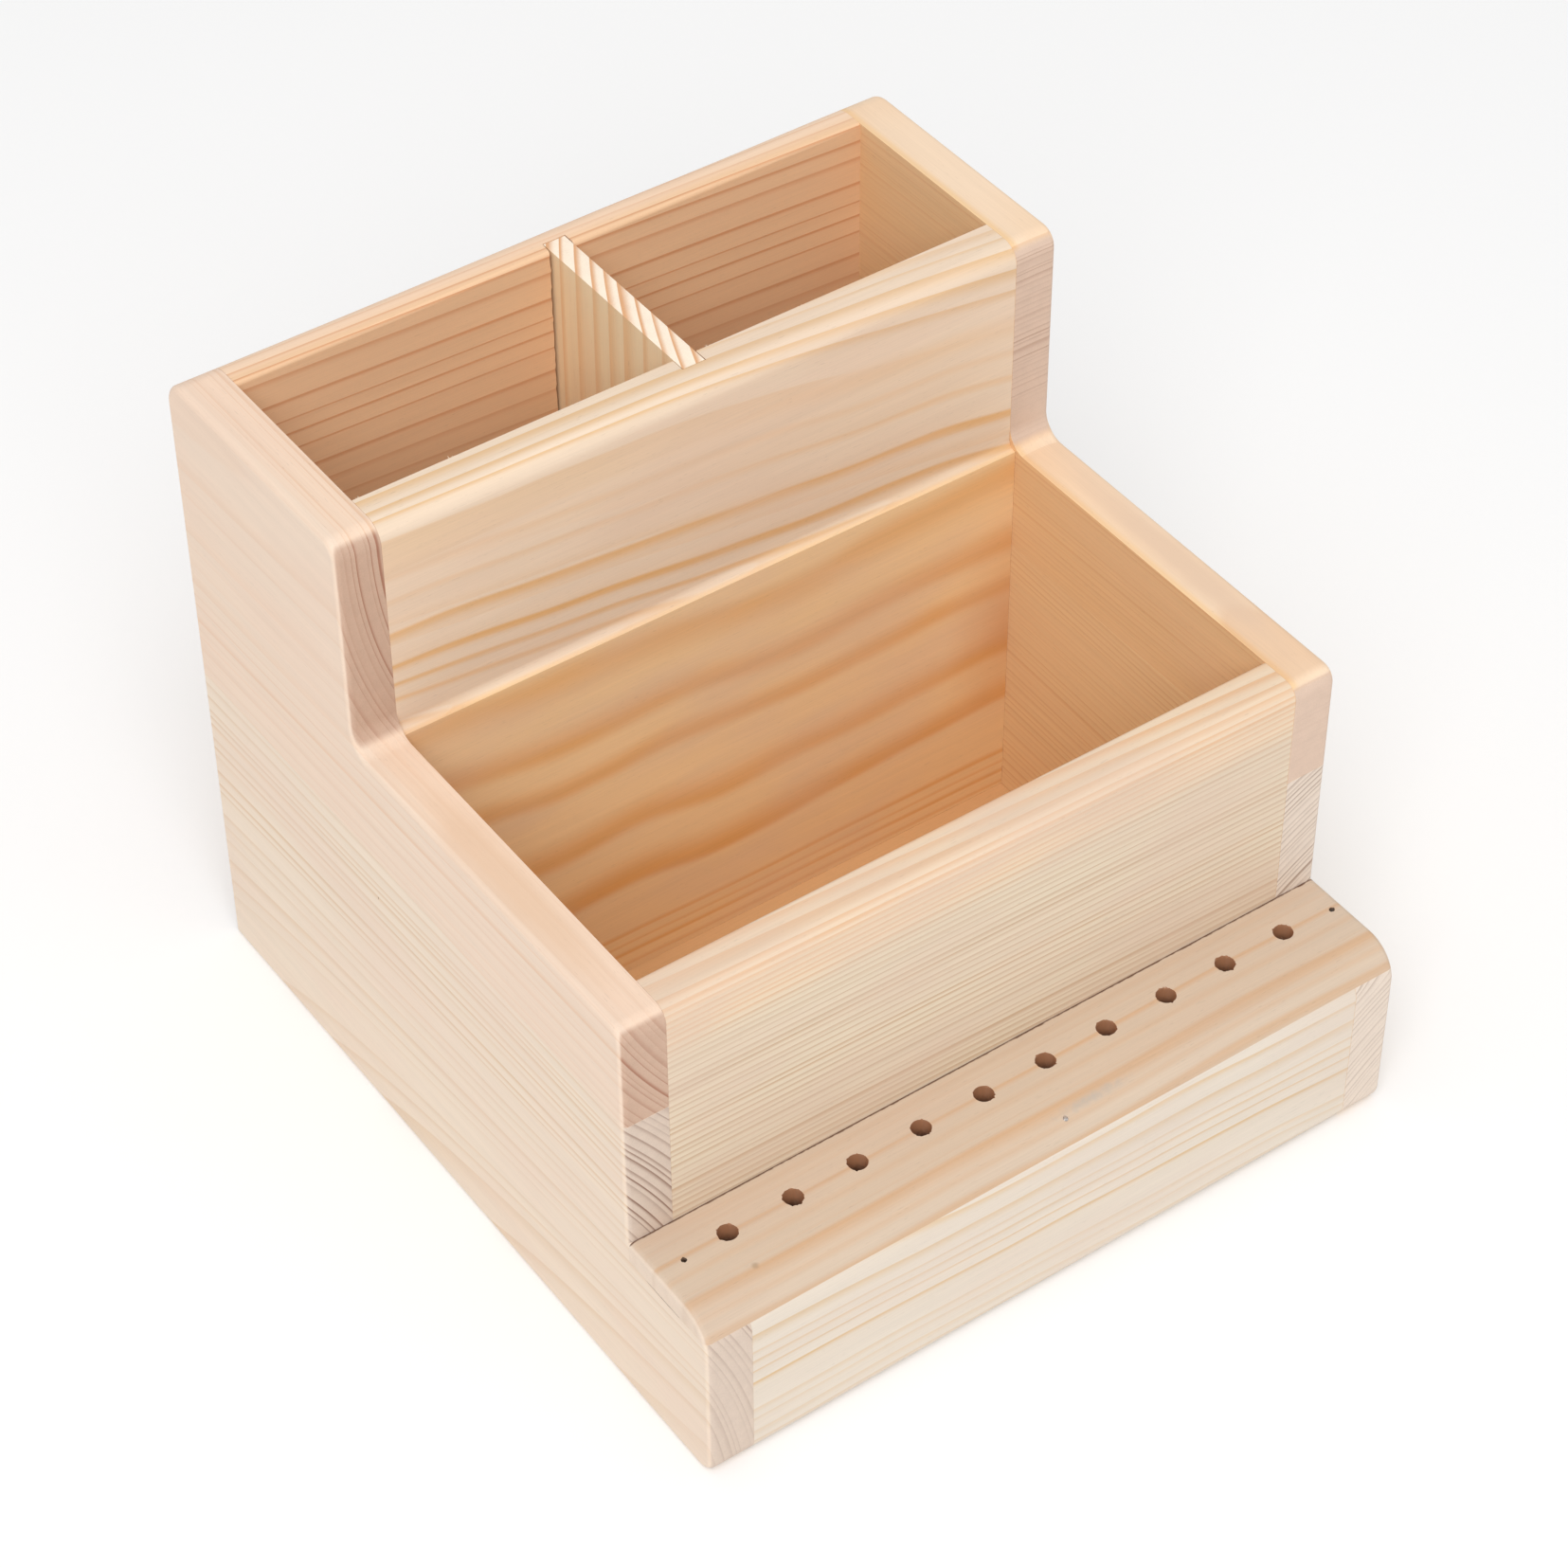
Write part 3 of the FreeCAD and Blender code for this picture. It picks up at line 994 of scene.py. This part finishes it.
binFront = {
    "seamEase": 0.12,
    "pine": {
        "pithAcross": -204.0, "pithThrough": -204.0, "tilt": 0.02, "ringWidth": 1.65, "unevenness": 0.6,
        "wander": 0.8, "wanderLength": 170.0, "lateShare": 0.6, "faintest": 0.55, "spells": 0.25,
        "seed": 6.6, "early": (228, 212, 188), "late": (196, 158, 120), "blush": (220, 194, 174),
        "blushShare": 0.5, "contrast": 0.75,
        "laidGrain": (
            {
                "zone": (107.0, 500.0, 5.0), "early": (236, 212, 184), "late": (226, 172, 122),
                "rings": 0.85, "wave": 0.0, "waveLength": 100.0, "calmBelow": -500.0, "tilt": 0.0,
                "lines": (),
            },
        ),
    },
}


def buildBinFront():
    def outline(x):
        return [
            (binFace, bottomTop, 0.0),
            (binFace, binTop, sanded(boxRounding["binLip"], x, 3)),
            (binInside, binTop, sanded(boxRounding["innerEdge"], x, 12)),
            (binInside, bottomTop, 0.0),
        ]
    board = panel(outline)
    easeEdges(board, binFront["seamEase"])
    material = pineMaterial("binFrontPine", binFront["pine"])
    finishPiece(board, "binFrontBoard", "caddy", material, ["bin_front_board"])


bottomBoard = {
    "seamEase": 0.12,
    "pine": {
        "grain": "flatX", "pithAcross": 14.0, "pithThrough": -46.0, "tilt": 0.02, "ringWidth": 3.4,
        "unevenness": 1.5, "wander": 3.0, "wanderLength": 90.0, "lateShare": 0.4, "faintest": 0.2,
        "seed": 15.3, "early": (229, 185, 135), "late": (206, 146, 90), "blush": (224, 177, 128),
        "contrast": 0.7,
    },
}


def buildBottom():
    def outline(x):
        return [
            (bottomLow.y, 0.0, 0.0),
            (bottomLow.y, bottomTop, 0.0),
            (bottomHigh.y, bottomTop, 0.0),
            (bottomHigh.y, 0.0, 0.0),
        ]
    board = panel(outline)
    easeEdges(board, bottomBoard["seamEase"])
    material = pineMaterial("bottomBoardPine", bottomBoard["pine"])
    finishPiece(board, "bottomBoard", "caddy", material, ["bottom_board"])


apron = {
    "seamEase": 0.12,
    "pine": {
        "pithAcross": -90.0, "pithThrough": -50.0, "tilt": 0.035, "ringWidth": 4.3, "unevenness": 1.5,
        "wander": 2.6, "wanderLength": 75.0, "lateShare": 0.45, "faintest": 0.3, "spells": 0.4, "seed": 2.3,
        "early": (227, 215, 200), "late": (216, 178, 124), "blush": (225, 206, 190), "contrast": 0.8,
    },
}


def buildApron():
    xLow, xHigh = innerLeft - overlap, innerRight + overlap
    board = sandedBox(innerLeft, innerRight)
    carve(board, block((xLow, apronHigh.y, -margin), (xHigh, backFace + margin, topFace + margin)))
    carve(board, block((xLow, frontFace - margin, railUnder), (xHigh, backFace, topFace + margin)))
    tidyMesh(board)
    easeEdges(board, apron["seamEase"])
    material = pineMaterial("apronPine", apron["pine"])
    finishPiece(board, "frontApron", "caddy", material, ["front_apron"])


buildBackBoard()
buildMiddleBoard()
buildBinFront()
buildBottom()
buildApron()
print("boards across the box in place")

endBradLow, endBradHigh = cornersOf("rail_end_brads")
frontBradLow, frontBradHigh = cornersOf("rail_front_brads")

# four headless pins: two at the rail's ends, two along its front edge
brads = {
    "across": 1.2,
    "facets": 24,
    "sunk": 0.5,           # heads of the two end brads below the rail's face
    "filledSunk": 0.9,     # the front left one, filled over
    "flushSunk": 0.08,     # the front middle one, sanded flush
    "flushGap": 0.04,
    "pilotEase": 0.02,     # gap round the pin
    "pilotDepth": 17.0,
    "pastFace": 1.5,       # how far the pilot cutters stand above the rail
    "lip": 0.04,
    "lipTear": 0.7,
    "tornMouth": 0.75,
    "leastTear": 0.3,
    "tearGain": 2.2,
    "tearDetail": 1.7,
    "pilotSeed": 40,
    "steel": ((118, 110, 104), (70, 58, 50)),            # bright and dull patches
    "sandedSteel": ((226, 222, 220), (176, 168, 164)),
    "scuffScale": 900.0,
    "drawnScale": 2600.0,
    "roughness": (0.34, 0.6),
    "bumpStrength": 0.4,
    "bumpDepth": 0.02,
}


def railSurface(y):
    # height of the rail's top, down over its rounded nose
    nose = boxRounding["railNose"]
    past = max(0.0, nose - (y - frontFace))
    return railTop - nose + math.sqrt(nose * nose - past * past)


def bradPlaces():
    half = brads["across"] / 2
    middleY = (endBradLow.y + endBradHigh.y) / 2
    return {
        "left": (endBradLow.x + half, middleY, brads["sunk"]),
        "right": (endBradHigh.x - half, middleY, brads["sunk"]),
        "frontLeft": (frontBradLow.x + half, frontBradHigh.y - half, brads["filledSunk"]),
        "frontMiddle": (frontBradHigh.x - half, frontBradLow.y + half, brads["flushSunk"]),
    }


def pilotHole(x, y, sunk, seed):
    half = brads["across"] / 2 + brads["pilotEase"]
    top = railSurface(y)
    past = top + brads["pastFace"]
    levels = [(railTop - brads["pilotDepth"], 0.0), (top - sunk, 0.0)]
    if sunk == brads["flushSunk"]:
        levels[1] = (past, 0.0)
    if sunk == brads["sunk"]:
        torn = brads["tornMouth"] * sunk
        levels += [(top - brads["lip"], torn * brads["lipTear"]), (past, torn)]
    rings = []
    for z, torn in levels:
        radii = []
        for i in range(brads["facets"]):
            turn = 2 * math.pi * i / brads["facets"]
            detail = brads["tearDetail"]
            ragged = max(0.0, noise.noise(Vector((math.cos(turn) * detail, math.sin(turn) * detail, seed))))
            radii.append(half + torn * (brads["leastTear"] + brads["tearGain"] * ragged))
        rings.append(circleAt(x, y, z, radii))
    return loft("pilot", rings)


rail = {
    "holes": 10,
    "pitch": 18.0,
    "holeAcross": 5.0,
    "fromMiddle": 1.0,
    "setback": 21.0,
    "facets": 56,
    "wobble": 0.04,        # how far a wall wanders from round
    "wobbleDetail": 0.9,
    "tornRim": 0.42,       # widest fibre tear at the rim
    "tearDepth": 0.7,
    "tearGain": 1.7,
    "tearDetail": 4.6,
    "tearFrom": 0.06,      # noise below this tears nothing
    "tearAlong": 0.35,     # share of the tearing where the rim runs across the fibres
    "midTear": (0.3, 0.35),
    "seamEase": 0.12,
    "backEase": 0.45,      # leaves the thin dark joint against the bin
    "endClear": 2.5,       # the back easing stops this far from the ends
    "cutterReach": 9.0,
    "pine": {
        "grain": "flatX", "seed": 7.9, "blush": (210, 184, 162), "contrast": 0.85, "ringWidth": 2.4,
        "laidGrain": (
            {
                "zone": (-500.0, 500.0, 0.4), "early": (213, 192, 170), "late": (208, 158, 108),
                "rings": 0.18, "wave": 1.8, "waveLength": 110.0, "calmBelow": -500.0, "tilt": 0.004,
                "lines": (
                    (-79.0, 2.0, 1.5, 0.2), (-86.6, 1.6, 0.7, 0.55), (-92.0, 1.5, 2.0, 0.2),
                    (-98.6, 4.6, 1.4, 0.6), (-103.0, 1.2, 1.2, 0.3), (-106.2, 1.8, 0.9, 0.55),
                ),
            },
        ),
        "endEarly": (232, 212, 193), "endLate": (200, 170, 144), "endContrast": 0.35,
    },
    # browns the walls of the drilled holes
    "holeWallBrown": {
        "reach": (8.0, 8.0, 14.0), "wallsOnly": True, "ragged": 0.35, "raggedScale": 1.3,
        "softness": 0.4, "strength": 0.9, "colour": (178, 122, 84),
    },
    # painted shade: darkens the hole walls towards the bottom of each hole
    "drillShade": {
        "reach": (8.0, 8.0, 7.4), "wallsOnly": True, "ragged": 0.3, "raggedScale": 1.3,
        "softness": 0.6, "strength": 0.92, "colour": (82, 50, 36),
    },
    "shadeDepth": 8.5,
    # painted shade on the walls of the sunk brad holes at the rail's ends
    "bradRecessShade": {
        "reach": (2.2, 2.2, 3.0), "wallsOnly": True, "ragged": 0.3, "raggedScale": 1.3,
        "softness": 0.4, "strength": 0.9, "colour": (104, 80, 64),
    },
    # painted shade: a thin dark line in the crease where the rail meets the bin front
    "jointPaintedShade": {
        "reach": (900.0, 0.95, 1.3), "ragged": 0.65, "raggedScale": 0.45,
        "softness": 0.45, "strength": 0.95, "colour": (100, 64, 44),
    },
    "filler": {
        "reach": (1.5, 1.7, 3.0), "ragged": 0.35, "raggedScale": 0.9,
        "softness": 0.7, "strength": 0.6, "colour": (172, 146, 118),
    },
    "stain": {
        "reach": (24.0, 3.0, 7.0), "ragged": 0.7, "raggedScale": 0.5,
        "softness": 0.8, "strength": 0.75, "colour": (184, 175, 165),
    },
    "stainFromBrad": (9.0, 1.2),
    "bruise": {
        "reach": (1.3, 1.3, 3.0), "ragged": 0.5, "raggedScale": 1.2,
        "softness": 0.6, "strength": 0.5, "colour": (190, 180, 176),
    },
}


def raggedDrill(x, y, seed):
    # a drill that tears the fibres at the rim where it meets them end on
    radius = rail["holeAcross"] / 2
    midDepth, midShare = rail["midTear"]
    levels = ((railUnder - margin, 0.0), (railTop - rail["tearDepth"], 0.0), (railTop - midDepth, midShare),
              (railTop, 1.0), (railTop + margin, 1.0))
    rings = []
    for z, torn in levels:
        radii = []
        for i in range(rail["facets"]):
            turn = 2 * math.pi * i / rail["facets"]
            heading = Vector((math.cos(turn), math.sin(turn), 0.0))
            wall = noise.noise(heading * rail["wobbleDetail"] + Vector((0, 0, seed * 3.1))) * rail["wobble"]
            tear = noise.noise(heading * rail["tearDetail"] + Vector((0, 0, seed * 5.7))) - rail["tearFrom"]
            tear = max(0.0, tear) * rail["tearGain"] * rail["tornRim"]
            tear *= rail["tearAlong"] + (1 - rail["tearAlong"]) * abs(heading.y)
            radii.append(radius + wall + tear * torn)
        rings.append(circleAt(x, y, z, radii))
    return loft("drill", rings)


def joined(tools):
    work = bmesh.new()
    for tool in tools:
        work.from_mesh(tool.data)
        bpy.data.objects.remove(tool)
    mesh = bpy.data.meshes.new("cutter")
    work.to_mesh(mesh)
    work.free()
    tool = bpy.data.objects.new("cutter", mesh)
    bpy.context.scene.collection.objects.link(tool)
    return tool


def railMarks(first, row):
    # browned walls and painted shade down the drilled holes, painted shade along the joint with the bin and
    # in the end brads' holes, then filler, a stain and a bruise round the front brads
    places = bradPlaces()
    middleX, middleY = places["frontMiddle"][:2]
    stainX, stainY = rail["stainFromBrad"]
    spots = [
        ("holeWallBrown", (first, row, railTop)),
        ("drillShade", (first, row, railTop - rail["shadeDepth"])),
        ("jointPaintedShade", (0.0, binFace, railTop - 0.15)),
        ("filler", (*places["frontLeft"][:2], railTop)),
        ("stain", (middleX + stainX, middleY + stainY, railTop)),
        ("bruise", (middleX, middleY, railTop - 1.0)),
        ("bradRecessShade", (*places["left"][:2], railTop - 1.0)),
        ("bradRecessShade", (*places["right"][:2], railTop - 1.0)),
    ]
    marks = []
    for name, at in spots:
        mark = {**rail[name], "at": at}
        if name in ("holeWallBrown", "drillShade"):
            mark["every"] = rail["pitch"]
            mark["count"] = rail["holes"]
        marks.append(mark)
    return marks


def buildRail():
    near = 0.1
    reach = rail["cutterReach"]
    farLow = (leftFace - reach, frontFace - reach, -reach)
    farHigh = (rightFace + reach, backFace + reach, topFace + reach)

    def backEdge(middle):
        atJoint = middle.y > binFace - near and middle.z > railTop - near
        return atJoint and abs(middle.x) < rightFace - rail["endClear"]

    def underEdge(middle):
        atEnd = abs(middle.x) > rightFace - near
        atLongEdge = middle.y < frontFace + near or middle.y > binFace - near
        return middle.z < railUnder + near and (atEnd or atLongEdge)

    board = sandedBox(leftFace, rightFace)
    carve(board, block(farLow, (farHigh[0], farHigh[1], railUnder)))
    carve(board, block((farLow[0], binFace, railUnder - reach), farHigh))
    tidyMesh(board)
    first = rail["fromMiddle"] - (rail["holes"] - 1) * rail["pitch"] / 2
    row = frontFace + rail["setback"]
    drills = [raggedDrill(first + i * rail["pitch"], row, i + 1) for i in range(rail["holes"])]
    for i, spot in enumerate(bradPlaces().values()):
        drills.append(pilotHole(*spot, brads["pilotSeed"] + i))
    carve(board, joined(drills))
    easeEdges(board, rail["backEase"], 3, backEdge)
    easeEdges(board, rail["seamEase"], 2, underEdge)
    material = pineMaterial("toolRailPine", {**rail["pine"], "marks": railMarks(first, row)})
    finishPiece(board, "toolRail", "caddy", material, ["tool_rail"])


def steelMaterial(name, bright, dull):
    material = bpy.data.materials.new(name)
    material.use_nodes = True
    tree = material.node_tree
    shader = tree.nodes["Principled BSDF"]
    place = addNode(tree, "ShaderNodeTexCoord").outputs["Object"]
    scuff = noiseAt(tree, place, 3.0, 0.6, brads["scuffScale"]).outputs[0]
    drawn = noiseAt(tree, place, 2.0, 0.5, brads["drawnScale"]).outputs[0]
    colour = blendColour(tree, fade(tree, scuff, 0.4, 0.65), linear(bright), linear(dull))
    tree.links.new(colour, shader.inputs["Base Color"])
    tree.links.new(fade(tree, drawn, 0.2, 0.8, *brads["roughness"]), shader.inputs["Roughness"])
    shader.inputs["Metallic"].default_value = 1.0
    bump = addNode(tree, "ShaderNodeBump", {"Height": drawn, "Strength": brads["bumpStrength"],
                                            "Distance": brads["bumpDepth"] * mm})
    tree.links.new(bump.outputs[0], shader.inputs["Normal"])
    return material


def buildBrads():
    steel = steelMaterial("bradSteel", *brads["steel"])
    sandedSteel = steelMaterial("sandedBradSteel", *brads["sandedSteel"])
    half = brads["across"] / 2
    for name, (x, y, sunk) in bradPlaces().items():
        atEnd = name in ("left", "right")
        foot = endBradLow.z if atEnd else frontBradLow.z
        top = railSurface(y) - sunk
        # chisel point, drawn shank with a shallow crimp below a domed head
        profile = ((0.12, foot), (0.35, foot + 0.8), (1.0, foot + 2.0), (1.0, top - 1.1), (0.93, top - 0.9),
                   (1.0, top - 0.7), (1.0, top - 0.12), (0.86, top - 0.03), (0.4, top))
        rings = []
        for share, z in profile:
            ring = circleAt(x, y, z, [half * share] * brads["facets"])
            rings.append([(px, py, min(pz, railSurface(py) - brads["flushGap"])) for px, py, pz in ring])
        metal = sandedSteel if sunk == brads["flushSunk"] else steel
        node = "rail_end_brads" if atEnd else "rail_front_brads"
        finishPiece(loft("brad", rings), name + "Brad", "caddy", metal, [node])


buildRail()
buildBrads()
print("rail drilled and pinned")

divider = {
    "sawMark": 0.05,       # depth of the ridges the saw left on the top
    "sawPitch": 1.1,
    "sawSlant": 0.3,
    "toothDetail": 1.3,
    "topRows": 54,
    "topColumns": 8,
    "topEase": 0.09,
    "footEase": 0.25,
    "endBand": 0.4,        # height of the narrow bands at the top and the foot
    "pine": {
        "grain": "Z", "pithAcross": -40.0, "pithThrough": 220.0, "tilt": 0.01, "ringWidth": 3.2,
        "unevenness": 0.5, "wander": 0.4, "wanderLength": 120.0, "lateShare": 0.55, "faintest": 0.75,
        "spells": 0.0, "seed": 10.2, "early": (255, 234, 196), "late": (240, 188, 130),
        "blush": (252, 216, 176), "contrast": 0.55, "endEarly": (255, 238, 217), "endLate": (226, 172, 127),
        "endContrast": 1.0,
    },
}


def sawnTop(work):
    # the top is straight from the saw, with faint ridges across it
    rows, columns = divider["topRows"], divider["topColumns"]
    width, depth = dividerHigh.x - dividerLow.x, dividerHigh.y - dividerLow.y
    top = []
    for j in range(rows + 1):
        line = []
        for i in range(columns + 1):
            x, y = dividerLow.x + width * i / columns, dividerLow.y + depth * j / rows
            ridge = abs(math.sin(math.pi * (y + divider["sawSlant"] * x) / divider["sawPitch"]))
            tooth = noise.noise(Vector((x * divider["toothDetail"], y * divider["toothDetail"], 4.0)))
            drop = divider["sawMark"] * (0.5 * ridge + 0.5 + 0.5 * tooth)
            if i in (0, columns) or j in (0, rows):
                drop += divider["topEase"]
            line.append(work.verts.new(Vector((x, y, dividerHigh.z - drop)) * mm))
        top.append(line)
    for j in range(rows):
        for i in range(columns):
            work.faces.new((top[j][i], top[j][i + 1], top[j + 1][i + 1], top[j + 1][i]))
    front = list(top[0])
    right = [line[-1] for line in top[1:]]
    back = top[-1][-2::-1]
    left = [line[0] for line in top[-2:0:-1]]
    return front + right + back + left


def buildDivider():
    work = bmesh.new()
    rim = sawnTop(work)
    middle = (dividerHigh.z + dividerLow.z) / 2
    levels = [dividerHigh.z - divider["endBand"], middle, dividerLow.z + divider["endBand"], dividerLow.z]
    above = rim
    for z in levels:
        inset = divider["footEase"] if z == dividerLow.z else 0.0
        below = []
        for vertex in rim:
            x = min(max(vertex.co.x / mm, dividerLow.x + inset), dividerHigh.x - inset)
            y = min(max(vertex.co.y / mm, dividerLow.y + inset), dividerHigh.y - inset)
            below.append(work.verts.new(Vector((x, y, z)) * mm))
        for i in range(len(rim)):
            j = (i + 1) % len(rim)
            work.faces.new((above[i], below[i], below[j], above[j]))
        above = below
    work.faces.new(above)
    bmesh.ops.recalc_face_normals(work, faces=work.faces)
    mesh = bpy.data.meshes.new("divider")
    work.to_mesh(mesh)
    work.free()
    piece = bpy.data.objects.new("liftOutDivider", mesh)
    bpy.context.scene.collection.objects.link(piece)
    material = pineMaterial("dividerPine", divider["pine"])
    finishPiece(piece, "liftOutDivider", "loose_divider", material, ["divider"])


buildDivider()
print("divider standing in its grooves")
